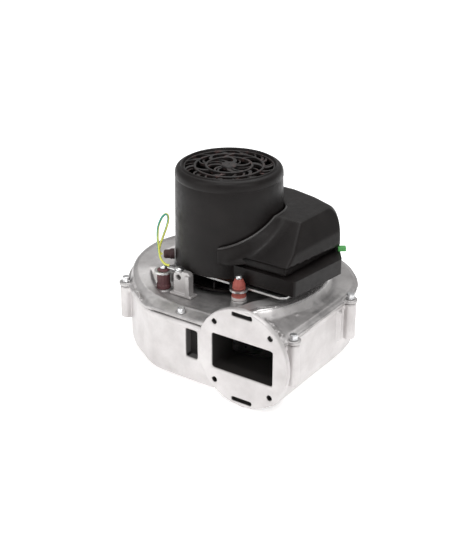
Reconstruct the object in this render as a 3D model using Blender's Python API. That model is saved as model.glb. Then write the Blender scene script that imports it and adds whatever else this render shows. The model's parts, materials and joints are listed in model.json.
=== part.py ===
"""Combustion fan of a gas boiler: die-cast volute, isolated motor, electronics box.

Working frame: motor axis on Z, outlet flange facing -Y, flange rim touching z = 0.
At the end everything is shifted so the bounding box is centred in X and Y.
All sizes in metres; MM converts the millimetre constants below.
"""
import math

import bmesh
import bpy
from mathutils import Matrix, Vector

MM = 0.001
GAP = 0.3

# ---- driving sizes (mm) ------------------------------------------------------
FLANGE_D = 100.0
FLANGE_T = 6.0
FLANGE_X = 83.3
FLANGE_Y = -100.0
FLANGE_Z = FLANGE_D / 2
FLANGE_HOLES = 61.0
FLANGE_HOLE_D = 5.5
PORT_W = 66.8
PORT_H = 35.6
SLOT_L = 22.0
SLOT_W = 4.0
SLOT_DEPTH = 4.6
SLOT_OFF = 44.0

SPIRAL_R0 = 95.0
SPIRAL_GROW = 0.16
SPIRAL_START = 240.0
SPIRAL_END = 25.0
WALL = 4.5
BASE_Z = 2.0
PAD_Z = -1.0
PART_Z = 66.2
RIM_Z = 70.0
LIP = 2.5

IMPELLER_R = 74.0
SHAFT_R = 4.0
PLATE_Z = 90.0
PLATE_T = 2.0
CAP_R_TOP = 52.3
CAP_R_BASE = 53.6
CAP_Z0 = 95.5
CAP_Z1 = 193.5
CAP_EDGE = 7.6
ISO_SPOTS = ((45.5, -49.0, 81.0, 102.0), (-38.5, -57.0, 73.6, 93.8), (-24.4, 60.5, 77.6, 98.6))
BOX_Y = -41.5
LID_TOP = 150.0
LID_ROUND = 21.0
LID_INSET = 14.0
LID_WALL = 6.0
RECESS = 3.7
ROOF_RISE = 0.69
ROOF_Z = 120.0
ROOF_Y = -41.0

LUG_OUT = 4.2


# ---- helpers -----------------------------------------------------------------
def clear_scene():
    for ob in list(bpy.data.objects):
        bpy.data.objects.remove(ob, do_unlink=True)


def material(name, colour, rough, metal=0.0):
    mat = bpy.data.materials.new(name)
    mat.use_nodes = True
    bsdf = mat.node_tree.nodes["Principled BSDF"]
    bsdf.inputs["Base Color"].default_value = (*colour, 1.0)
    bsdf.inputs["Roughness"].default_value = rough
    bsdf.inputs["Metallic"].default_value = metal
    mat.diffuse_color = (*colour, 1.0)
    return mat


def add_mesh(name, verts, faces, mat, smooth=True, angle=35.0):
    mesh = bpy.data.meshes.new(name)
    mesh.from_pydata([tuple(c * MM for c in v) for v in verts], [], faces)
    bm = bmesh.new()
    bm.from_mesh(mesh)
    bmesh.ops.remove_doubles(bm, verts=bm.verts, dist=1e-6)
    bmesh.ops.recalc_face_normals(bm, faces=bm.faces)
    bm.to_mesh(mesh)
    bm.free()
    ob = bpy.data.objects.new(name, mesh)
    bpy.context.scene.collection.objects.link(ob)
    if mat:
        mesh.materials.append(mat)
    if smooth:
        mesh.shade_smooth()
        mesh.set_sharp_from_angle(angle=math.radians(angle))
    return ob


def ring_faces(rows, cols, close_rows):
    faces = []
    last = rows if close_rows else rows - 1
    for i in range(last):
        for j in range(cols):
            a = i * cols + j
            b = i * cols + (j + 1) % cols
            c = ((i + 1) % rows) * cols + (j + 1) % cols
            d = ((i + 1) % rows) * cols + j
            faces.append((a, b, c, d))
    return faces


def revolve_data(profile, segs, centre=(0.0, 0.0), closed=False):
    """profile: (r, z) points; closed=True joins the last point to the first (a ring)."""
    verts = []
    for r, z in profile:
        for k in range(segs):
            a = math.tau * k / segs
            verts.append((centre[0] + r * math.cos(a), centre[1] + r * math.sin(a), z))
    faces = ring_faces(len(profile), segs, closed)
    if not closed:
        faces.append(tuple(range(segs))[::-1])
        top = (len(profile) - 1) * segs
        faces.append(tuple(range(top, top + segs)))
    return verts, faces


def revolve(name, profile, segs, mat, centre=(0.0, 0.0), closed=False):
    verts, faces = revolve_data(profile, segs, centre, closed)
    return add_mesh(name, verts, faces, mat)


def prism_data(outline, z0, z1):
    n = len(outline)
    verts = [(x, y, z0) for x, y in outline] + [(x, y, z1) for x, y in outline]
    faces = [tuple(range(n))[::-1], tuple(range(n, 2 * n))]
    faces += [(i, (i + 1) % n, n + (i + 1) % n, n + i) for i in range(n)]
    return verts, faces


def prism(name, outline, z0, z1, mat, smooth=True):
    verts, faces = prism_data(outline, z0, z1)
    return add_mesh(name, verts, faces, mat, smooth)


def box_data(x0, x1, y0, y1, z0, z1):
    return prism_data(((x0, y0), (x1, y0), (x1, y1), (x0, y1)), z0, z1)


def box(name, x0, x1, y0, y1, z0, z1, mat):
    verts, faces = box_data(x0, x1, y0, y1, z0, z1)
    return add_mesh(name, verts, faces, mat, False)


def circle_pts(cx, cy, r, n, start=0.0):
    out = []
    for k in range(n):
        a = start + math.tau * k / n
        out.append((cx + r * math.cos(a), cy + r * math.sin(a)))
    return out


def round_polygon(points, radii, steps=5):
    """Polygon with every corner replaced by an arc of its own radius."""
    out = []
    n = len(points)
    for i in range(n):
        p = Vector(points[i])
        a = (Vector(points[i - 1]) - p).normalized()
        b = (Vector(points[(i + 1) % n]) - p).normalized()
        r = radii[i]
        if r <= 0.0:
            out.append((p.x, p.y))
            continue
        half = a.angle(b) / 2
        reach = r / math.tan(half)
        centre = p + (a + b).normalized() * (r / math.sin(half))
        start = p + a * reach - centre
        end = p + b * reach - centre
        turn = start.angle_signed(end)
        base = math.atan2(start.y, start.x)
        for k in range(steps + 1):
            t = base - turn * k / steps
            out.append((centre.x + r * math.cos(t), centre.y + r * math.sin(t)))
    return out


def merged(pieces):
    verts = []
    faces = []
    for pv, pf in pieces:
        base = len(verts)
        verts += pv
        faces += [tuple(i + base for i in f) for f in pf]
    return verts, faces


def rotated(data, axis, origin=(0.0, 0.0, 0.0), angle=90.0):
    """Turn vertex data about an axis through origin, angle in degrees."""
    turn = Matrix.Rotation(math.radians(angle), 3, axis)
    o = Vector(origin)
    verts = [tuple(turn @ (Vector(v) - o) + o) for v in data[0]]
    return verts, data[1]


def boolean(ob, pieces, mode):
    """Apply one boolean with a hidden multi-body cutter."""
    verts, faces = merged(pieces)
    cutter = add_mesh(ob.name + "_" + mode.lower() + "_tool", verts, faces, None, False)
    cutter.hide_render = True
    cutter.display_type = "WIRE"
    mod = ob.modifiers.new(mode.lower(), "BOOLEAN")
    mod.operation = mode
    mod.solver = "EXACT"
    mod.object = cutter
    return cutter


def cyl_data(cx, cy, r, z0, z1, n=16):
    return revolve_data(((r, z0), (r, z1)), n, (cx, cy))


def ycyl_data(cx, cz, r, y0, y1, n=20):
    """Cylinder along Y."""
    verts, faces = revolve_data(((r, y0), (r, y1)), n)
    return [(cx + x, z, cz - y) for x, y, z in verts], faces


def smooth_step(t):
    t = min(1.0, max(0.0, t))
    return t * t * (3 - 2 * t)


def lerp(a, b, t):
    return a + (b - a) * t


def axis_to_parent(ob):
    """Moving pieces: their origin already lies on the motor axis."""
    ob["spins"] = True


# ---- volute outline ----------------------------------------------------------
def spiral_r(t):
    return SPIRAL_R0 + SPIRAL_GROW * (SPIRAL_START - t)


def volute_outline():
    """Star-shaped outline around the motor axis, counter-clockwise, no offset."""
    front = FLANGE_Y + FLANGE_T - 0.4
    wall_x = WALL_X
    pts = []
    spiral_n = 36
    for k in range(spiral_n + 1):
        t = lerp(SPIRAL_END, SPIRAL_START, k / spiral_n)
        r = spiral_r(t)
        a = math.radians(t)
        pts.append((r * math.cos(a), r * math.sin(a)))
    x0, y0 = pts[-1]
    for k in (1, 2, 3, 4):
        u = k / 4
        pts.append((lerp(x0, -14.0, u), lerp(y0, front, u) - 3.6 * math.sin(math.pi * u)))
    for k in range(1, 8):
        pts.append((lerp(-14.0, wall_x - 3.0, k / 7), front))
    pts.append((wall_x - 0.9, front + 0.9))
    pts.append((wall_x, front + 3.0))
    for k in range(1, 8):
        pts.append((wall_x, lerp(front + 3.0, 54.0, k / 8)))
    n = len(pts)
    for _ in range(3):
        soft = list(pts)
        for k in range(-3, 4):
            ax, ay = pts[(k - 1) % n]
            bx, by = pts[(k + 1) % n]
            soft[k % n] = ((ax + bx) / 4 + pts[k % n][0] / 2, (ay + by) / 4 + pts[k % n][1] / 2)
        pts = soft
    return [(x, max(y, front)) for x, y in pts]


def spiral_lug(t):
    r = spiral_r(t) + LUG_OUT
    return r * math.cos(math.radians(t)), r * math.sin(math.radians(t))


WALL_X = spiral_r(SPIRAL_END) * math.cos(math.radians(SPIRAL_END))
OUTLINE = volute_outline()
COLS = len(OUTLINE)
LUGS = (spiral_lug(217.5), (5.5, -87.0), (WALL_X + LUG_OUT, -72.0), (WALL_X + LUG_OUT, 31.0),
        spiral_lug(70.0), spiral_lug(130.0))


def polar(p):
    return math.hypot(*p), math.degrees(math.atan2(p[1], p[0])) % 360.0


def moved(p, d, y_min=None):
    """Point of the outline moved d outward along its ray from the axis."""
    r, _ = polar(p)
    k = (r + d) / r
    x, y = p[0] * k, p[1] * k
    if y_min is not None:
        y = max(y, y_min)
    return x, y


def at_radius(p, r):
    own, _ = polar(p)
    return p[0] * r / own, p[1] * r / own


def travel(p):
    """0 at the tongue, 1 at the end of the spiral, following the gas."""
    _, t = polar(p)
    if t > 300.0 or t < SPIRAL_END:
        return 1.0
    return min(1.0, max(0.0, (300.0 - t) / (300.0 - SPIRAL_END)))


def cavity_r(p):
    """Inner radius of the volute chamber along the ray through p."""
    r, t = polar(p)
    full = r - WALL
    if t > 300.0 or t < SPIRAL_END:
        ang = t - 360.0 if t > 180.0 else t
        straight = (OUTLINE[0][0] - WALL) / max(0.2, math.cos(math.radians(ang)))
        u = smooth_step((-ang - 8.0) / 42.0)
        return min(full, lerp(straight, 80.0, u))
    u = smooth_step((300.0 - t) / 75.0)
    return min(full, lerp(80.0, full, u))


def loft(name, rows, mat, closed=True):
    """rows: list of rings, each COLS points (x, y, z)."""
    verts = [v for row in rows for v in row]
    return add_mesh(name, verts, ring_faces(len(rows), COLS, closed), mat, True, 38.0)


def row_offset(d, z, y_min=None):
    return [(*moved(p, d, y_min), z) for p in OUTLINE]


def row_radius(r, z):
    return [(*at_radius(p, r), z) for p in OUTLINE]


# ---- housing -----------------------------------------------------------------
def lower_housing(mat):
    def bend(p):
        return lerp(9.0, 17.0, travel(p))

    def outer_fillet(step):
        a = math.radians(step)
        out = []
        for p in OUTLINE:
            b = bend(p)
            z = BASE_Z + b * (1 - math.sin(a))
            out.append((*moved(p, -0.8 * b * (1 - math.cos(a))), z))
        return out

    def inner_fillet(step):
        a = math.radians(step)
        out = []
        for p in OUTLINE:
            b = bend(p) - 2.0
            r = cavity_r(p) - 0.8 * b * (1 - math.cos(a))
            out.append((*at_radius(p, r), BASE_Z + 4.0 + b * (1 - math.sin(a))))
        return out

    def chamber(z):
        return [(*at_radius(p, cavity_r(p)), z) for p in OUTLINE]

    rows = [
        row_offset(1.3, PART_Z),
        row_offset(1.3, PART_Z - 4.2),
        row_offset(0.0, PART_Z - 5.4),
        outer_fillet(0.0),
        outer_fillet(30.0),
        outer_fillet(60.0),
        outer_fillet(90.0),
        row_radius(56.0, BASE_Z),
        row_radius(55.0, PAD_Z),
        row_radius(37.0, PAD_Z),
        row_radius(35.0, 0.5),
        row_radius(35.0, BASE_Z + 4.0),
        inner_fillet(90.0),
        inner_fillet(55.0),
        inner_fillet(25.0),
        inner_fillet(0.0),
        chamber(PART_Z),
    ]
    ob = loft("lower_housing", rows, mat)
    top = PART_Z
    port_l = FLANGE_X - PORT_W / 2
    port_r = FLANGE_X + PORT_W / 2
    port_b = FLANGE_Z - PORT_H / 2
    port_t = FLANGE_Z + PORT_H / 2
    disc_back = FLANGE_Y + FLANGE_T
    adds = [ycyl_data(FLANGE_X, FLANGE_Z, FLANGE_D / 2, FLANGE_Y, disc_back, 56)]
    boolean(ob, adds, "UNION")
    posts = []
    floors = (32.0, 24.0, 24.0, 28.0, 28.0, 28.0)
    for (x, y), z0 in zip(LUGS, floors):
        posts.append(cyl_data(x, y, 6.3, z0, top, 14))
    posts.append(cyl_data(117.6, 17.0, 3.2, 30.0, top - 5.0, 12))
    mod_tool = boolean(ob, posts, "UNION")
    mod_tool.name = "lower_housing_posts_tool"
    cuts = [box_data(port_l, port_r, FLANGE_Y - 5, disc_back + 2.0, port_b, port_t)]
    for sx in (-1, 1):
        for sz in (-1, 1):
            hx = FLANGE_X + sx * FLANGE_HOLES / 2
            hz = FLANGE_Z + sz * FLANGE_HOLES / 2
            cuts.append(ycyl_data(hx, hz, FLANGE_HOLE_D / 2, FLANGE_Y - 5, disc_back + 4, 12))
    for sz in (-1, 1):
        z = FLANGE_Z + sz * SLOT_OFF
        cuts.append(box_data(FLANGE_X - SLOT_L / 2, FLANGE_X + SLOT_L / 2,
                             FLANGE_Y - 5, FLANGE_Y + SLOT_DEPTH, z - SLOT_W / 2, z + SLOT_W / 2))
    boolean(ob, cuts, "DIFFERENCE")
    more = [box_data(port_l + 3, port_r - 5.0, -62.0, -50.0, port_t - 6.0, top + 4.0)]
    more.append(box_data(15.5, 29.0, -100.0, -84.5, 30.0, 60.0))
    more.append(box_data(54.0, 108.0, -89.5, -68.0, -6.0, port_b - 3.8))
    for x, y in LUGS:
        more.append(cyl_data(x, y, 2.5, 54.0, top + 4.0, 8))
    tool = boolean(ob, more, "DIFFERENCE")
    tool.name = "lower_housing_pockets_tool"
    duct = box_data(port_l, WALL_X - 4.6, disc_back - 1.0, -46.0, port_b, port_t)
    tool = boolean(ob, [duct], "DIFFERENCE")
    tool.name = "lower_housing_duct_tool"
    return ob


def cover_ring_z(p):
    """Height of the raised volute ring, low near the tongue."""
    _, t = polar(p)
    if t > 300.0 or t < 60.0:
        ang = t - 360.0 if t > 180.0 else t
        return lerp(73.6, 84.0, smooth_step((ang + 62.0) / 26.0))
    return lerp(73.6, 84.0, smooth_step((262.0 - t) / 62.0))


def cover_ring_r(p):
    """Outer radius of the raised ring."""
    r, t = polar(p)
    front = 80.5 / max(0.02, -math.sin(math.radians(t))) if 200.0 < t < 340.0 else 999.0
    return max(82.0, min(101.0, r - 4.6, front))


def housing_cover(mat):
    y_min = FLANGE_Y + FLANGE_T + GAP
    floor = 71.6

    def side(w):
        """0 where the ring reaches the rim, 1 where a flat channel lies between."""
        return smooth_step((w - 5.0) / 14.0)

    def ring(f, g):
        out = []
        for x, y in OUTLINE:
            p = (x, max(y, y_min + 0.6))
            rp = cover_ring_r(p)
            w = polar(p)[0] - rp
            out.append((*at_radius(p, f(rp, w)), g(p, side(w))))
        return out

    rows = [
        row_radius(9.0, floor),
        row_radius(74.0, floor),
        ring(lambda rp, w: 78.5, lambda p, s: cover_ring_z(p) - 0.8),
        ring(lambda rp, w: rp - 3.0, lambda p, s: cover_ring_z(p)),
        ring(lambda rp, w: rp - 0.6, lambda p, s: cover_ring_z(p) - 1.0),
        ring(lambda rp, w: rp + lerp(0.3 * w, 3.6, side(w)),
             lambda p, s: min(cover_ring_z(p) - 1.6, lerp(81.0, 74.6, s))),
        ring(lambda rp, w: rp + 0.56 * w, lambda p, s: min(cover_ring_z(p) - 2.0, lerp(77.5, 72.8, s))),
        ring(lambda rp, w: rp + lerp(0.8, 0.87, side(w)) * w,
             lambda p, s: min(cover_ring_z(p) - 2.6, lerp(74.5, 72.3, s))),
        ring(lambda rp, w: rp + w - 0.9, lambda p, s: 70.9),
        row_offset(-0.4, RIM_Z, y_min + 0.4),
        row_offset(LIP, RIM_Z, y_min),
        row_offset(LIP, PART_Z + GAP, y_min),
        row_offset(-0.2, PART_Z + GAP, y_min + 0.2),
        row_offset(-0.7, PART_Z + 0.6, y_min + 0.4),
        row_offset(-WALL, PART_Z + 0.6, y_min + 0.8),
        row_offset(-WALL - 1.0, PART_Z + 3.4, y_min + 4),
        ring(lambda rp, w: rp + lerp(0.5 * w - 2.5, 1.5, side(w)),
             lambda p, s: min(cover_ring_z(p) - 3.6, lerp(73.6, 69.7, s))),
        ring(lambda rp, w: rp - 5.6, lambda p, s: max(70.0, cover_ring_z(p) - 3.6)),
        ring(lambda rp, w: 81.0, lambda p, s: max(69.4, cover_ring_z(p) - 4.2)),
        row_radius(76.5, floor - 3.4),
        row_radius(9.0, floor - 3.4),
    ]
    ob = loft("housing_cover", rows, mat)
    adds = []
    for x, y in LUGS:
        adds.append(cyl_data(x, y, 7.2, PART_Z + 0.6, RIM_Z + 0.6, 14))
    for x, y, foot, _ in ISO_SPOTS:
        adds.append(revolve_data(((8.8, floor - 1.0), (7.6, foot - GAP)), 14, (x, y)))
    boolean(ob, adds, "UNION")
    spots = [cyl_data(x, y, 5.8, RIM_Z + 0.6, 90.0, 14) for x, y in LUGS]
    tool = boolean(ob, spots, "DIFFERENCE")
    tool.name = "housing_cover_spotface_tool"
    cuts = []
    for x, y in LUGS:
        cuts.append(cyl_data(x, y, 2.6, 60.0, 76.0, 8))
    for x, y, foot, _ in ISO_SPOTS:
        cuts.append(cyl_data(x, y, 2.3, floor + 0.4, foot + 4.0, 8))
    boolean(ob, cuts, "DIFFERENCE")
    return ob


def housing_seal(mat):
    front = FLANGE_Y + FLANGE_T + GAP
    rows = [
        row_offset(-1.0, PART_Z + 0.15, front + 0.9),
        row_offset(-1.0, PART_Z + 0.45, front + 0.9),
        row_offset(-3.0, PART_Z + 0.45, front + 2.9),
        row_offset(-3.0, PART_Z + 0.15, front + 2.9),
    ]
    return loft("housing_seal", rows, mat)


def cover_screw(index, x, y, mat):
    prof = ((2.0, 57.0), (2.0, RIM_Z + 0.9), (4.6, RIM_Z + 0.9), (4.6, RIM_Z + 1.9),
            (3.9, RIM_Z + 1.9), (3.9, RIM_Z + 5.2), (3.3, RIM_Z + 5.8))
    return revolve("cover_screw_%d" % index, prof, 10, mat, (x, y))


def inlet_nozzle(mat):
    prof = ((47.0, 6.4), (47.0, 8.6), (36.5, 8.6), (32.2, 13.0), (30.6, 20.0), (30.6, 36.5),
            (28.8, 36.5), (28.8, 19.5), (30.4, 12.0), (34.0, 7.4), (36.0, 6.4))
    return revolve("inlet_nozzle", prof, 28, mat, closed=True)


def shaft_seal(mat):
    prof = ((8.6, 67.4), (8.6, 73.0), (12.0, 73.0), (12.0, 74.2), (5.2, 74.2), (4.5, 72.0), (4.5, 67.4))
    return revolve("shaft_seal", prof, 16, mat, closed=True)


# ---- rotor -------------------------------------------------------------------
def shaft(mat):
    prof = ((2.4, 36.0), (3.0, 37.0), (3.0, 49.0), (SHAFT_R, 49.0), (SHAFT_R, 152.0), (3.2, 153.0))
    ob = revolve("shaft", prof, 14, mat)
    axis_to_parent(ob)
    return ob


def impeller(mat):
    eye = 32.0
    prof = ((4.3, 50.0), (9.0, 50.0), (11.0, 57.0), (20.0, 59.6), (IMPELLER_R, 59.6),
            (IMPELLER_R, 61.2), (12.0, 61.2), (12.0, 65.5), (4.3, 65.5))
    ob = revolve("impeller", prof, 36, mat, closed=True)
    shroud = ((eye, 37.5), (eye + 2.0, 40.4), (eye + 8.0, 43.0), (IMPELLER_R, 46.6),
              (IMPELLER_R, 45.2), (eye + 9.0, 41.4), (eye + 3.4, 39.0), (eye + 1.5, 37.5))
    pieces = [revolve_data(shroud, 36, closed=True)]
    blades = 8
    for b in range(blades):
        base = math.tau * b / blades
        left = []
        right = []
        for k in range(5):
            u = k / 4
            r = lerp(36.0, IMPELLER_R - 0.6, u)
            a = base - 0.95 * u ** 0.8
            left.append((r * math.cos(a + 0.75 / r), r * math.sin(a + 0.75 / r), u))
            right.append((r * math.cos(a - 0.75 / r), r * math.sin(a - 0.75 / r), u))
        loop = left + right[::-1]
        low = []
        high = []
        for x, y, u in loop:
            low.append((x, y, lerp(42.0, 45.9, u)))
            high.append((x, y, 60.3))
        n = len(loop)
        faces = [tuple(range(n))[::-1], tuple(range(n, 2 * n))]
        faces += [(i, (i + 1) % n, n + (i + 1) % n, n + i) for i in range(n)]
        pieces.append((low + high, faces))
    tool = boolean(ob, pieces[1:], "UNION")
    tool.name = "impeller_blades_tool"
    tool = boolean(ob, pieces[:1], "UNION")
    tool.name = "impeller_shroud_tool"
    axis_to_parent(ob)
    return ob


def impeller_nut(mat):
    prof = ((3.7, 41.0), (5.6, 41.0), (6.2, 42.0), (6.2, 48.4), (3.7, 48.4))
    ob = revolve("impeller_nut", prof, 6, mat, closed=True)
    axis_to_parent(ob)
    return ob


def cooling_fan(mat):
    prof = ((4.3, 75.2), (40.0, 75.2), (44.0, 77.0), (44.0, 79.0), (12.0, 78.0), (12.0, 84.5), (4.3, 84.5))
    ob = revolve("cooling_fan", prof, 28, mat, closed=True)
    blades = []
    for b in range(9):
        data = box_data(10.0, 43.0, -0.8, 0.8, 77.2, 85.5)
        blades.append(rotated(data, "Z", angle=40.0 * b + 5.0))
    boolean(ob, blades, "UNION")
    axis_to_parent(ob)
    return ob


def rotor_core(mat):
    prof = ((4.3, 103.0), (17.0, 103.0), (17.6, 104.0), (17.6, 132.0), (17.0, 133.0), (4.3, 133.0))
    ob = revolve("rotor_core", prof, 20, mat, closed=True)
    axis_to_parent(ob)
    return ob


def bearing(name, z0, z1, mat_out, mat_in):
    outer = ((7.8, z0), (7.8, z1), (11.0, z1), (11.0, z0))
    inner = ((4.25, z0), (4.25, z1), (7.4, z1), (7.4, z0))
    revolve(name + "_outer", outer, 18, mat_out, closed=True)
    ob = revolve(name + "_inner", inner, 16, mat_in, closed=True)
    axis_to_parent(ob)


# ---- motor -------------------------------------------------------------------
def motor_plate(mat):
    r = 55.0
    front = -44.0
    pts = []
    end = 180.0 + math.degrees(math.asin(-front / r))
    for k in range(17):
        a = math.radians(lerp(90.0, end, k / 16))
        pts.append((r * math.cos(a), r * math.sin(a)))
    pts += [(88.0, front), (93.0, front + 4.0), (93.0, 40.0), (80.0, 53.0), (40.0, r)]
    ob = prism("motor_plate", pts, PLATE_Z, PLATE_Z + PLATE_T, mat)
    cuts = [cyl_data(0.0, 0.0, 15.5, PLATE_Z - 3, PLATE_Z + 5, 20)]
    ears = []
    arms = []
    for x, y, _, _ in ISO_SPOTS:
        cuts.append(cyl_data(x, y, 5.2, PLATE_Z - 3, PLATE_Z + 5, 12))
        ears.append(cyl_data(x, y, 9.0, PLATE_Z, PLATE_Z + PLATE_T, 14))
        reach, turn = polar((x, y))
        arm = box_data(45.0, reach - 1.0, -7.5, 7.5, PLATE_Z, PLATE_Z + PLATE_T)
        arms.append(rotated(arm, "Z", angle=turn))
    boolean(ob, ears, "UNION")
    tool = boolean(ob, arms, "UNION")
    tool.name = "motor_plate_arms_tool"
    boolean(ob, cuts, "DIFFERENCE")
    return ob


def bearing_carrier(mat):
    prof = ((11.3, 88.2), (11.3, 96.0), (8.6, 96.0), (8.6, 97.6), (14.5, 97.6), (14.5, 94.0),
            (23.0, 94.0), (23.0, 92.3), (15.2, 92.3), (15.2, 88.2))
    return revolve("bearing_carrier", prof, 20, mat, closed=True)


def stator(mat_core, mat_wire, mat_bracket):
    core = ((18.3, 103.0), (18.3, 133.0), (40.0, 133.0), (40.0, 103.0))
    ob = revolve("stator_core", core, 28, mat_core, closed=True)
    slots = []
    for k in range(9):
        data = box_data(22.0, 33.0, -3.4, 3.4, 98.0, 138.0)
        slots.append(rotated(data, "Z", angle=40.0 * k))
    boolean(ob, slots, "DIFFERENCE")
    low = ((21.0, 99.0), (19.6, 101.0), (21.0, 102.7), (34.0, 102.7), (35.4, 101.0), (34.0, 99.0))
    revolve("winding_lower", low, 22, mat_wire, closed=True)
    high = [(r, 236.0 - z) for r, z in low][::-1]
    revolve("winding_upper", high, 22, mat_wire, closed=True)
    prof = ((8.6, 149.6), (8.6, 148.0), (11.3, 148.0), (11.3, 140.0), (15.0, 140.0), (15.0, 146.6),
            (37.0, 146.6), (37.0, 133.3), (44.0, 133.3), (44.0, 135.3), (39.4, 136.5), (39.4, 149.6))
    ob = revolve("upper_bracket", prof, 22, mat_bracket, closed=True)
    cuts = []
    for k in range(4):
        data = box_data(19.0, 33.0, -4.0, 4.0, 144.0, 152.0)
        cuts.append(rotated(data, "Z", angle=90.0 * k + 45.0))
    boolean(ob, cuts, "DIFFERENCE")


def motor_cap(mat):
    top = CAP_Z1
    edge = CAP_EDGE
    prof = [(CAP_R_BASE, CAP_Z0)]
    for k in range(5):
        a = math.radians(90.0 * k / 4)
        prof.append((CAP_R_TOP - edge * (1 - math.cos(a)), top - edge * (1 - math.sin(a))))
    prof += [(44.2, top - 0.1), (43.6, top - 1.6), (9.0, top - 0.4), (9.0, top - 3.4), (43.0, top - 4.4),
             (49.6, top - 10.0), (51.0, CAP_Z0)]
    ob = revolve("motor_cap", prof, 48, mat, closed=True)
    adds = [cyl_data(0.0, 0.0, 11.0, top - 3.2, top - 0.6, 16)]
    boolean(ob, adds, "UNION")
    cuts = []
    for count, r0, r1, w, twist in ((9, 13.0, 26.0, 3.6, 0.0), (16, 29.0, 41.0, 3.8, 11.0)):
        for k in range(count):
            data = box_data(r0, r1, -w / 2, w / 2, top - 8.0, top + 4.0)
            cuts.append(rotated(data, "Z", angle=360.0 * k / count + twist))
    boolean(ob, cuts, "DIFFERENCE")
    return ob


def isolator(index, x, y, foot, tip, mat):
    top = PLATE_Z + PLATE_T + GAP
    prof = ((7.2, foot), (7.2, foot + 3.4), (6.5, foot + 4.6), (6.7, PLATE_Z - GAP), (4.8, PLATE_Z - GAP),
            (4.8, top), (6.4, top), (6.0, lerp(top, tip, 0.45)), (3.8, tip), (2.4, tip), (2.4, foot))
    return revolve("isolator_%d" % index, prof, 14, mat, (x, y), closed=True)


def isolator_screw(index, x, y, tip, mat):
    head = tip + GAP
    prof = ((1.9, 72.6), (1.9, head), (3.4, head), (3.4, head + 1.8), (2.2, head + 3.0))
    return revolve("isolator_screw_%d" % index, prof, 10, mat, (x, y))


# ---- electronics -------------------------------------------------------------
def inset(points, d):
    """Counter-clockwise polygon moved inward by d, edge by edge."""
    n = len(points)
    out = []
    for i in range(n):
        p = Vector(points[i])
        a = (p - Vector(points[i - 1])).normalized()
        b = (Vector(points[(i + 1) % n]) - p).normalized()
        na = Vector((-a.y, a.x))
        nb = Vector((-b.y, b.x))
        q = p + (na + nb) * (d / (1.0 + na.dot(nb)))
        out.append((q.x, q.y))
    return out


BASE_CORNERS = ((26.0, BOX_Y), (102.2, BOX_Y), (111.0, 29.8), (84.5, 67.0), (58.0, 78.5), (28.0, 86.0),
                (-4.0, 86.0), (-4.0, 30.0))
BASE_RADII = (0, 3, 5, 8, 16, 20, 2, 0)
LID_CORNERS = ((18.0, -49.6), (27.0, -46.6), (38.0, ROOF_Y), (93.4, ROOF_Y), (98.7, 47.6), (84.2, 67.0),
               (58.0, 78.2), (28.0, 85.7), (-3.7, 85.7), (-3.7, 30.0), (18.0, 20.0))
LID_RADII = (0, 6, 8, 3, 6, 8, 16, 20, 2, 0, 0)


def base_outline(d):
    return round_polygon(inset(BASE_CORNERS, d), [max(0.8, r - d) if r else 0 for r in BASE_RADII], 3)


def lid_outline(d):
    return round_polygon(inset(LID_CORNERS, d), [max(0.8, r - d) if r else 0 for r in LID_RADII], 3)


def electronics_base(mat):
    ob = prism("electronics_base", base_outline(0.0), 94.6, 110.0, mat)
    boolean(ob, [prism_data(base_outline(2.5), 97.0, 114.0)], "DIFFERENCE")
    tool = boolean(ob, [prism_data(base_outline(1.0), 108.5, 110.0)], "UNION")
    tool.name = "electronics_base_ledge_tool"
    tool = boolean(ob, [prism_data(lid_outline(LID_WALL + 0.2), 105.0, 114.0)], "DIFFERENCE")
    tool.name = "electronics_base_mouth_tool"
    tool = boolean(ob, [cyl_data(0.0, 0.0, CAP_R_BASE + GAP, 90.0, 120.0, 48)], "DIFFERENCE")
    tool.name = "electronics_base_round_tool"
    tool = boolean(ob, [box_data(20.0, 44.0, 69.0, 92.0, 98.5, 108.5)], "DIFFERENCE")
    tool.name = "electronics_base_socket_tool"
    return ob


def plane_cut(verts_faces, point, normal):
    """Cut away the side of the plane the normal points to, and cap it."""
    bm = bmesh.new()
    vs = [bm.verts.new(v) for v in verts_faces[0]]
    for f in verts_faces[1]:
        bm.faces.new([vs[i] for i in f])
    bmesh.ops.recalc_face_normals(bm, faces=bm.faces)
    geom = list(bm.verts) + list(bm.edges) + list(bm.faces)
    cut = bmesh.ops.bisect_plane(bm, geom=geom, plane_co=point, plane_no=normal, clear_outer=True)
    edges = [e for e in cut["geom_cut"] if isinstance(e, bmesh.types.BMEdge)]
    bmesh.ops.holes_fill(bm, edges=edges)
    bm.verts.index_update()
    verts = [tuple(v.co) for v in bm.verts]
    faces = [tuple(v.index for v in f.verts) for f in bm.faces]
    bm.free()
    return verts, faces


def roof_height(y):
    """Sloping front roof of the lid, up to its flat top."""
    return min(LID_TOP, ROOF_Z + (y - ROOF_Y) * ROOF_RISE)


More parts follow.
